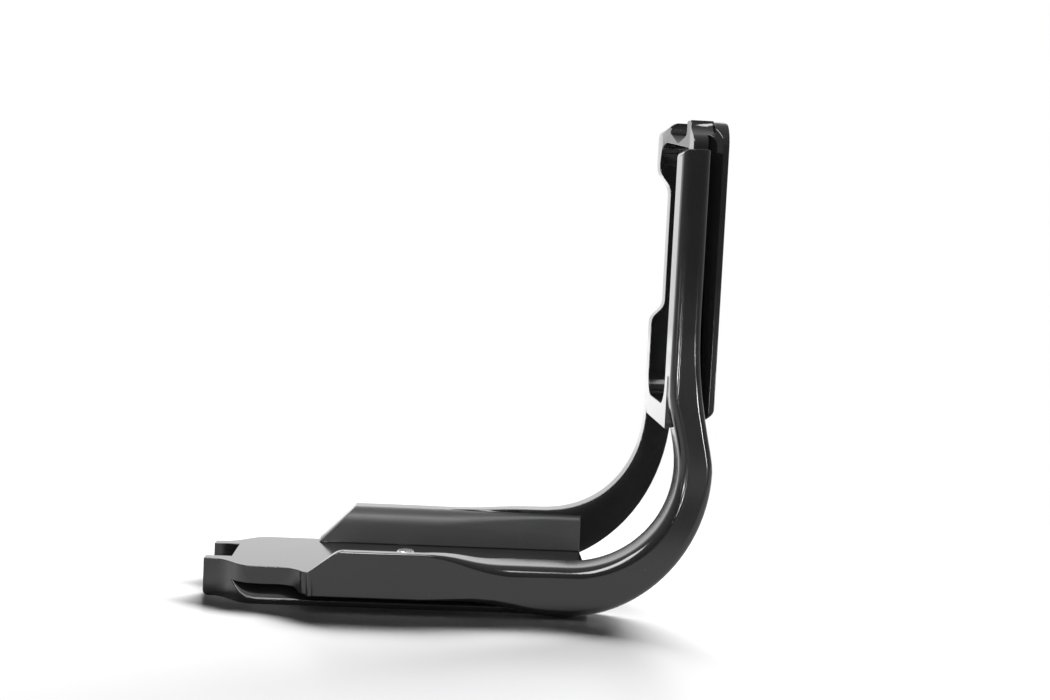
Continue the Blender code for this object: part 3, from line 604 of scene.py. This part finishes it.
class Lathe:
    """Builds a round shape from loops, each drawn out of the one before."""

    def __init__(self, axis: tuple[float, float], segments: int) -> None:
        """Start an empty shape.

        Args:
            axis: X and Y of the axis.
            segments: Sides of every loop, a multiple of six.
        """
        self.builder = bmesh.new()
        self.axis = axis
        self.segments = segments
        self.loop: list[bmesh.types.BMVert] = []

    def _shape(self, radius: float, height: float, hexagonal: bool) -> None:
        """Move the present loop to a radius and height.

        Args:
            radius: The circle's radius, or the hexagon's distance from centre to flat.
            height: Its Z.
            hexagonal: Whether the loop is a hexagon.
        """
        for vert in self.loop:
            offset = Vector((vert.co.x - self.axis[0], vert.co.y - self.axis[1], 0.0))
            reach = radius
            if hexagonal:
                sixth = math.pi / 3
                turned = math.atan2(offset.y, offset.x) % sixth
                reach = radius / math.cos(turned - sixth / 2)
            offset = offset.normalized() * reach
            vert.co = (self.axis[0] + offset.x, self.axis[1] + offset.y, height)

    def start(self, radius: float, height: float, peak: float | None = None) -> "Lathe":
        """Draw the first loop.

        Args:
            radius: Its radius.
            height: Its Z.
            peak: The Z of a pole that closes it, where it needs one.

        Returns:
            The lathe.
        """
        made = bmesh.ops.create_circle(
            self.builder, segments=self.segments, radius=1.0, cap_ends=peak is not None
        )
        self.loop = list(made["verts"])
        bmesh.ops.translate(self.builder, verts=self.loop, vec=(*self.axis, 0.0))
        self._shape(radius, height, False)
        if peak is not None:
            pole = bmesh.ops.poke(self.builder, faces=list(self.builder.faces))["verts"][0]
            pole.co = (*self.axis, peak)
        return self

    def step(self, radius: float, height: float, hexagonal: bool = False) -> "Lathe":
        """Draw the next loop out of the present one.

        Args:
            radius: Its radius.
            height: Its Z.
            hexagonal: Whether it is a hexagon.

        Returns:
            The lathe.
        """
        loop = set(self.loop)
        edges = [edge for vert in self.loop for edge in vert.link_edges if set(edge.verts) <= loop]
        made = bmesh.ops.extrude_edge_only(self.builder, edges=list(dict.fromkeys(edges)))
        self.loop = [part for part in made["geom"] if isinstance(part, bmesh.types.BMVert)]
        self._shape(radius, height, hexagonal)
        return self

    def follow(self, *profile: tuple[float, float]) -> "Lathe":
        """Draw round loops along a profile.

        Args:
            profile: The radius and Z of each.

        Returns:
            The lathe.
        """
        for radius, height in profile:
            self.step(radius, height)
        return self

    def point(self, height: float) -> "Lathe":
        """Close the present loop in a pole.

        Args:
            height: The pole's Z.

        Returns:
            The lathe.
        """
        bmesh.ops.pointmerge(self.builder, verts=self.loop, merge_co=(*self.axis, height))
        self.loop = []
        return self

    def finish(self, weld: float = 0.001 * MM) -> bmesh.types.BMesh:
        """Weld the seams and turn the faces outwards.

        Args:
            weld: How near points merge.

        Returns:
            The shape.
        """
        bmesh.ops.remove_doubles(self.builder, verts=self.builder.verts, dist=weld)
        bmesh.ops.recalc_face_normals(self.builder, faces=self.builder.faces)
        return self.builder


@dataclass
class CameraScrew:
    """The captive 1/4-20 screw: flat head with a hexagon socket, neck, and a cut thread."""

    node: str = "camera_screw"
    axis: tuple[float, float] = SCREW_AXIS
    segments: int = 96
    smooth_angle: float = 30.0
    head_radius: float = 6.5 * MM
    head_bottom: float = 1.85 * MM
    head_top: float = 4.25 * MM
    head_chamfer: float = 0.4 * MM
    edge_break: float = 0.08 * MM
    corner_share: float = 0.4
    socket_apothem: float = 2.0 * MM
    socket_chamfer: float = 0.2 * MM
    socket_flare: float = 1.6
    socket_depth: float = 1.6 * MM
    drill_share: float = 0.3
    drill_point: float = 0.1 * MM
    drill_edge: float = 0.8
    neck_radius: float = 2.9 * MM
    neck_top: float = 6.2 * MM
    neck_fillet: float = 3.0
    runout_share: float = 0.6
    thread_radius: float = 3.175 * MM
    thread_depth: float = 0.70 * MM
    pitch: float = 1.27 * MM
    crest_share: float = 0.125
    root_share: float = 0.25
    spare_turns: int = 2
    tip: float = 11.6 * MM
    tip_chamfer: float = 1.0 * MM
    weld: float = 0.002 * MM

    def head(self) -> bmesh.types.BMesh:
        """Head, socket and neck in one closed shell.

        Returns:
            The shell.
        """
        low, high, wide = self.head_bottom, self.head_top, self.head_radius
        fine, broad = self.edge_break, self.head_chamfer
        corner = fine * self.corner_share
        fillet = fine * self.neck_fillet
        roof = low + self.socket_depth
        runout = self.neck_top + self.thread_depth * self.runout_share
        lathe = Lathe(self.axis, self.segments).start(
            self.socket_apothem * self.drill_share,
            roof + self.drill_point * self.drill_edge,
            roof + self.drill_point,
        )
        lathe.step(self.socket_apothem, roof, True)
        lathe.step(self.socket_apothem, low + self.socket_chamfer, True)
        lathe.follow(
            (self.socket_apothem + self.socket_chamfer * self.socket_flare, low),
            (wide - broad - fine, low),
            (wide - broad, low + corner),
            (wide - corner, low + broad - fine),
            (wide, low + broad),
            (wide, high - broad),
            (wide - corner, high - broad + fine),
            (wide - broad, high - corner),
            (wide - broad - fine, high),
            (self.neck_radius + fillet, high),
            (self.neck_radius, high + fillet),
            (self.neck_radius, self.neck_top),
            (self.neck_radius - self.thread_depth, runout),
        )
        return lathe.point(runout).finish()

    def thread(self) -> bmesh.types.BMesh:
        """The helical thread in a closed shell of its own, cut flat at both ends.

        Returns:
            The shell.
        """
        builder = bmesh.new()
        low = self.neck_top - self.thread_depth
        root = self.thread_radius - self.thread_depth
        middle = (1.0 + self.crest_share) / 2
        shares = (0.0, self.crest_share, middle - self.root_share / 2, middle + self.root_share / 2)
        reaches = (self.thread_radius, self.thread_radius, root, root)
        verts = []
        for turn in range(-self.spare_turns, math.ceil((self.tip - low) / self.pitch) + 1):
            for share, reach in zip(shares, reaches):
                height = low + (turn + share) * self.pitch
                verts.append(builder.verts.new((self.axis[0] + reach, self.axis[1], height)))
        edges = [builder.edges.new(pair) for pair in zip(verts, verts[1:])]
        bmesh.ops.spin(
            builder,
            geom=verts + edges,
            axis=(0.0, 0.0, 1.0),
            cent=(*self.axis, 0.0),
            dvec=(0.0, 0.0, self.pitch / self.segments),
            angle=math.tau,
            steps=self.segments,
            use_merge=False,
        )
        bmesh.ops.remove_doubles(builder, verts=builder.verts, dist=self.weld)
        for level, side in ((low, -1.0), (self.tip, 1.0)):
            cut = bmesh.ops.bisect_plane(
                builder,
                geom=list(builder.verts) + list(builder.edges) + list(builder.faces),
                plane_co=(0.0, 0.0, level),
                plane_no=(0.0, 0.0, side),
                clear_outer=True,
            )
            rim = [part for part in cut["geom_cut"] if isinstance(part, bmesh.types.BMEdge)]
            bmesh.ops.edgeloop_fill(builder, edges=rim)
        self._chamfer(builder)
        bmesh.ops.recalc_face_normals(builder, faces=builder.faces)
        return builder

    def _chamfer(self, builder: bmesh.types.BMesh) -> None:
        """Turn the thread down to a cone at its tip.

        Args:
            builder: The thread.
        """
        for vert in builder.verts:
            room = self.thread_radius - max(0.0, vert.co.z - self.tip + self.tip_chamfer)
            offset = Vector((vert.co.x - self.axis[0], vert.co.y - self.axis[1]))
            if offset.length > room:
                offset = offset.normalized() * room
                vert.co.x, vert.co.y = self.axis[0] + offset.x, self.axis[1] + offset.y

    def build(self, finish: TurnedFinish) -> Piece:
        """Make and dress the screw.

        Args:
            finish: Its finish.

        Returns:
            The piece.
        """
        builder = self.head()
        helix = self.thread()
        shell = bpy.data.meshes.new("thread_shell")
        helix.to_mesh(shell)
        helix.free()
        builder.from_mesh(shell)
        bpy.data.meshes.remove(shell)
        piece = Piece("captive_camera_screw", builder).shade(self.smooth_angle)
        piece.dress(finish.build("turned_stainless_steel"), Slot.STAINLESS)
        return piece.join_model(Body.SCREW, self.node)


@dataclass
class SlipWasher:
    """The thin nylon washer under the head, with soft punched edges."""

    node: str = "slip_washer"
    axis: tuple[float, float] = SCREW_AXIS
    segments: int = 96
    smooth_angle: float = 40.0
    inner: float = 3.525 * MM
    outer: float = 6.3 * MM
    low: float = 4.55 * MM
    high: float = 5.05 * MM
    soften: float = 0.1 * MM
    corner_share: float = 0.3

    def build(self, finish: NylonFinish) -> Piece:
        """Make and dress the washer.

        Args:
            finish: Its finish.

        Returns:
            The piece.
        """
        near, far, low, high = self.inner, self.outer, self.low, self.high
        soft, corner = self.soften, self.soften * self.corner_share
        lathe = Lathe(self.axis, self.segments).start(near + soft, low)
        lathe.follow(
            (far - soft, low),
            (far - corner, low + corner),
            (far, low + soft),
            (far, high - soft),
            (far - corner, high - corner),
            (far - soft, high),
            (near + soft, high),
            (near + corner, high - corner),
            (near, high - soft),
            (near, low + soft),
            (near + corner, low + corner),
            (near + soft, low),
        )
        piece = Piece("nylon_slip_washer", lathe.finish()).shade(self.smooth_angle)
        piece.dress(finish.build("milky_nylon"), Slot.NYLON)
        return piece.join_model(Body.WASHER, self.node)


@dataclass
class RetainingRing:
    """The open spring ring in its groove, cut from flat wire with rounded edges."""

    node: str = "retaining_ring"
    axis: tuple[float, float] = SCREW_AXIS
    smooth_angle: float = 40.0
    inner: float = 5.8 * MM
    outer: float = 8.05 * MM
    low: float = 0.85 * MM
    high: float = 1.55 * MM
    gap: float = 50.0
    steps: int = 93
    corner_angle: float = 1.0
    edge_round: float = 0.10 * MM
    edge_steps: int = 2
    end_round: float = 0.28 * MM
    end_steps: int = 4

    def wire(self) -> bmesh.types.BMesh:
        """The flat wire bent round the axis, its edges still square.

        Returns:
            The wire.
        """
        builder = bmesh.new()
        section = bmesh.ops.create_grid(builder, x_segments=1, y_segments=1, size=0.5)["verts"]
        size = (self.outer - self.inner, self.high - self.low, 1.0)
        bmesh.ops.scale(builder, verts=section, vec=size)
        bmesh.ops.rotate(builder, verts=section, matrix=Matrix.Rotation(math.pi / 2, 3, "X"))
        middle = ((self.inner + self.outer) / 2, 0.0, (self.low + self.high) / 2)
        bmesh.ops.translate(builder, verts=section, vec=middle)
        half = math.radians(self.gap / 2)
        bmesh.ops.rotate(builder, verts=section, matrix=Matrix.Rotation(half, 3, "Z"))
        bmesh.ops.spin(
            builder,
            geom=list(builder.faces) + list(builder.edges) + list(builder.verts),
            axis=(0.0, 0.0, 1.0),
            cent=(0.0, 0.0, 0.0),
            angle=math.tau - half * 2,
            steps=self.steps,
        )
        bmesh.ops.translate(builder, verts=builder.verts, vec=(*self.axis, 0.0))
        bmesh.ops.recalc_face_normals(builder, faces=builder.faces)
        return builder

    def sharp_edges(self, builder: bmesh.types.BMesh, rise: float) -> list[bmesh.types.BMEdge]:
        """Find the square edges.

        Args:
            builder: The shape.
            rise: The least difference in Z between their ends.

        Returns:
            The edges.
        """
        return [
            edge
            for edge in builder.edges
            if edge.calc_face_angle(0.0) > self.corner_angle
            and abs(edge.verts[0].co.z - edge.verts[1].co.z) >= rise
        ]

    def build(self, finish: TurnedFinish) -> Piece:
        """Make and dress the ring.

        Args:
            finish: Its finish.

        Returns:
            The piece.
        """
        builder = self.wire()
        upright = self.sharp_edges(builder, (self.high - self.low) / 2)
        round_edges(builder, upright, self.end_round, self.end_steps, True)
        round_edges(
            builder, self.sharp_edges(builder, 0.0), self.edge_round, self.edge_steps, True
        )
        piece = Piece("spring_retaining_ring", builder).shade(self.smooth_angle)
        piece.dress(finish.build("oiled_spring_steel"), Slot.SPRING)
        return piece.join_model(Body.BRACKET, self.node)


@dataclass(frozen=True)
class PhotoCamera:
    """The camera, standing where the photograph was taken; its angles are radians."""

    eye: Point = (-0.006038, -0.406014, 0.098046)
    yaw: float = 0.05622
    pitch: float = 0.07394
    roll: float = 0.04937
    lens: float = 51.43
    sensor: float = 36.0
    nearest: float = 0.01

    def build(self) -> None:
        """Stand the camera up and look through it."""
        forward = Vector(
            (
                math.sin(self.yaw) * math.cos(self.pitch),
                math.cos(self.yaw) * math.cos(self.pitch),
                -math.sin(self.pitch),
            )
        )
        level = Vector((math.cos(self.yaw), -math.sin(self.yaw), 0.0))
        plumb = forward.cross(level)
        right = level * math.cos(self.roll) - plumb * math.sin(self.roll)
        down = level * math.sin(self.roll) + plumb * math.cos(self.roll)
        lens = bpy.data.cameras.new("photo_camera")
        lens.lens = self.lens
        lens.sensor_width = self.sensor
        lens.clip_start = self.nearest
        holder = bpy.data.objects.new("photo_camera", lens)
        bpy.context.scene.collection.objects.link(holder)
        turned = Matrix((right, -down, -forward)).transposed().to_4x4()
        holder.matrix_world = Matrix.Translation(self.eye) @ turned
        bpy.context.scene.camera = holder


@dataclass(frozen=True)
class PaleTable:
    """A glossy white table top: it fades to plain white round the bracket's shadow, and glows in
    the bracket's reflections as a painted reflection.
    """

    near: float = -1.25
    far: float = 1.4
    half_width: float = 1.0
    colour: Colour = (0.86, 0.86, 0.86, 1.0)
    roughness: float = 0.22
    ior: float = 1.18
    shadow_shape: float = 0.6
    fade: Span = (0.06, 0.21)
    front: Span = (-0.045, -0.030)
    side: Span = (0.030, 0.045)
    # Painted reflection: how bright the white is that glossy rays see in front of and right of the
    # bracket, with its dimming, brightening and window stripe.
    glow: float = 0.54
    dimming: float = 0.24
    dimming_span: Span = (-0.9, -0.5)
    brightening: float = 0.61
    brightening_span: Span = (-0.17, -0.11)
    painted_window_stripe: float = 0.6
    stripe_start: Span = (-0.31, -0.28)
    stripe_end: Span = (-0.25, -0.22)

    def top(self) -> bpy.types.Object:
        """The table top's mesh.

        Returns:
            The object.
        """
        builder = bmesh.new()
        bmesh.ops.create_grid(builder, x_segments=1, y_segments=1, size=0.5)
        size = Vector((self.half_width * 2, self.far - self.near, 1.0))
        bmesh.ops.scale(builder, verts=builder.verts, vec=size)
        middle = Vector((0.0, (self.far + self.near) / 2, 0.0))
        bmesh.ops.translate(builder, verts=builder.verts, vec=middle)
        mesh = bpy.data.meshes.new("table_top")
        builder.to_mesh(mesh)
        builder.free()
        table = bpy.data.objects.new("table_top", mesh)
        bpy.context.scene.collection.objects.link(table)
        return table

    def finish(self) -> bpy.types.Material:
        """White that keeps the shadow near the bracket; in front of and right of it, glossy rays
        see a painted reflection: glowing white with a painted window stripe.

        Returns:
            The material.
        """
        recipe = Recipe(bpy.data.materials.new("white_table"))
        shiny = {"Base Color": self.colour, "Roughness": self.roughness, "IOR": self.ior}
        sheen = recipe.node("ShaderNodeBsdfPrincipled", None, shiny)["BSDF"]
        x, y, _ = recipe.axes(recipe.place())
        path = recipe.node("ShaderNodeLightPath")
        seen = path["Is Camera Ray"]
        beside = x * self.shadow_shape
        far = (beside * beside + y * y).root().rise(*self.fade)
        lit = (1.0 - y.rise(*self.front)).maximum(x.rise(*self.side))
        # Painted reflection: the table's glow to glossy rays, dimmer far in front and brighter
        # close to the bracket.
        glow = self.glow - self.dimming * y.rise(*self.dimming_span)
        glow = glow + self.brightening * y.rise(*self.brightening_span)
        # Painted reflection of a window: a brighter stripe across the table's glow.
        painted_window_stripe = y.rise(*self.stripe_start) * (1.0 - y.rise(*self.stripe_end))
        glow = glow + painted_window_stripe * self.painted_window_stripe
        strength = seen + (1.0 - seen) * glow
        glowing = {"Color": recipe.mix(strength, BLACK, WHITE), "Strength": 1.0}
        white = recipe.node("ShaderNodeEmission", None, glowing)["Emission"]
        # Painted reflection: glossy rays near the bracket see the glowing white instead of the lit
        # table.
        share = (far * seen).maximum(lit * path["Is Glossy Ray"])
        both = recipe.node("ShaderNodeMixShader", None, {0: share, 1: sheen, 2: white})["Shader"]
        recipe.node("ShaderNodeOutputMaterial", None, {"Surface": both})
        return recipe.owner

    def build(self) -> None:
        """Lay the table."""
        self.top().data.materials.append(self.finish())


@dataclass(frozen=True)
class WhiteRoom:
    """White walls all round, darker in reflections where the photographer stands."""

    back: Span = (0.1, 1.0)
    ceiling: Span = (0.6, 0.95)
    sides: Span = (-1.0, 0.1)
    above: Span = (0.05, 0.4)
    back_glow: float = 0.46
    side_glow: float = 0.26
    above_glow: float = 0.14
    least_glow: float = 0.14
    ambient: float = 0.03

    def build(self) -> None:
        """Make it the scene's world."""
        world = bpy.data.worlds.new("white_room")
        bpy.context.scene.world = world
        recipe = Recipe(world)
        _, y, z = recipe.axes(recipe.node("ShaderNodeTexCoord")["Generated"])
        path = recipe.node("ShaderNodeLightPath")
        seen, glossy = path["Is Camera Ray"], path["Is Glossy Ray"]
        back = y.rise(*self.back) * (1.0 - z.rise(*self.ceiling))
        walls = y.rise(*self.sides) * self.side_glow + back * self.back_glow
        walls = walls + z.rise(*self.above) * self.above_glow + self.least_glow
        strength = seen + (1.0 - seen) * (glossy * walls + (1.0 - glossy) * self.ambient)
        white = {"Color": recipe.mix(strength, BLACK, WHITE), "Strength": 1.0}
        background = recipe.node("ShaderNodeBackground", None, white)["Background"]
        recipe.node("ShaderNodeOutputWorld", None, {"Surface": background})


@dataclass(frozen=True)
class Panel:
    """A soft lamp: its place, width and height, watts, and what it points at."""

    name: str
    place: Point
    size: tuple[float, float]
    watts: float
    aim: Point

    def hang(self) -> bpy.types.Object:
        """Hang the lamp.

        Returns:
            The lamp.
        """
        panel = bpy.data.lights.new(self.name, "AREA")
        panel.shape = "RECTANGLE"
        panel.size, panel.size_y = self.size
        panel.energy = self.watts
        lamp = bpy.data.objects.new(self.name, panel)
        bpy.context.scene.collection.objects.link(lamp)
        lamp.location = self.place
        lamp.rotation_euler = (Vector(self.aim) - lamp.location).to_track_quat("-Z", "Y").to_euler()
        return lamp


@dataclass(frozen=True)
class Gleam:
    """A pale sheet that only the bracket mirrors: its place, width, height and brightness."""

    name: str
    place: Point
    size: tuple[float, float]
    brightness: float
    aim: Point = (0.04, 0.0, 0.06)

    def hang(self) -> bpy.types.Object:
        """Hang the sheet.

        Returns:
            The lamp.
        """
        watts = self.brightness * math.pi * self.size[0] * self.size[1]
        lamp = Panel(self.name, self.place, self.size, watts, self.aim).hang()
        lamp.visible_diffuse = False
        return lamp


@dataclass(frozen=True)
class Studio:
    """The lamps, and what stands round the bracket."""

    back_panel: Panel = Panel(
        "back_panel", (0.36, 0.80, 0.76), (1.25, 0.32), 37.0, (0.0, 0.0, 0.05)
    )
    front_fill: Panel = Panel(
        "front_fill", (-0.15, -0.90, 0.55), (1.2, 0.9), 5.0, (0.0, 0.0, 0.05)
    )
    gleams: tuple[Gleam, ...] = (
        Gleam("rear_sheet", (0.0, 0.90, 0.30), (2.2, 0.90), 0.6),
        Gleam("overhead_strip", (-0.28, -0.42, 0.82), (0.86, 0.34), 12.0),
        Gleam("near_window", (-0.107, -0.45, 0.020), (0.025, 0.022), 70.0),
        Gleam("middle_window", (-0.312, -0.45, 0.020), (0.05, 0.022), 70.0),
        Gleam("right_window", (0.270, -0.45, 0.020), (0.05, 0.022), 90.0),
        Gleam("left_window", (-1.10, -0.42, 0.022), (0.10, 0.045), 6.0),
    )

    def build(self, pieces: Sequence[Piece]) -> None:
        """Set up everything round the bracket.

        Args:
            pieces: The pieces that the front fill and the gleams reach, and nothing else.
        """
        bpy.context.scene.view_settings.view_transform = "Standard"
        lit = bpy.data.collections.new("mirroring_pieces")
        for piece in pieces:
            lit.objects.link(piece.object)
        PhotoCamera().build()
        PaleTable().build()
        WhiteRoom().build()
        self.back_panel.hang().visible_glossy = False
        fill = self.front_fill.hang()
        fill.visible_glossy = False
        for lamp in (fill, *(gleam.hang() for gleam in self.gleams)):
            lamp.light_linking.receiver_collection = lit


def main() -> None:
    """Build every piece and its surroundings."""
    logging.basicConfig(level=logging.INFO, format="%(name)s: %(message)s")
    stainless = TurnedFinish(colour=(0.78, 0.77, 0.74, 1.0), roughness=0.26)
    spring_steel = TurnedFinish(colour=(0.34, 0.33, 0.32, 1.0), roughness=0.34)
    pieces = [
        MachinedBody().build(AnodisedFinish()),
        CameraScrew().build(stainless),
        SlipWasher().build(NylonFinish()),
        RetainingRing().build(spring_steel),
    ]
    Studio().build(pieces)


if __name__ == "__main__":
    main()
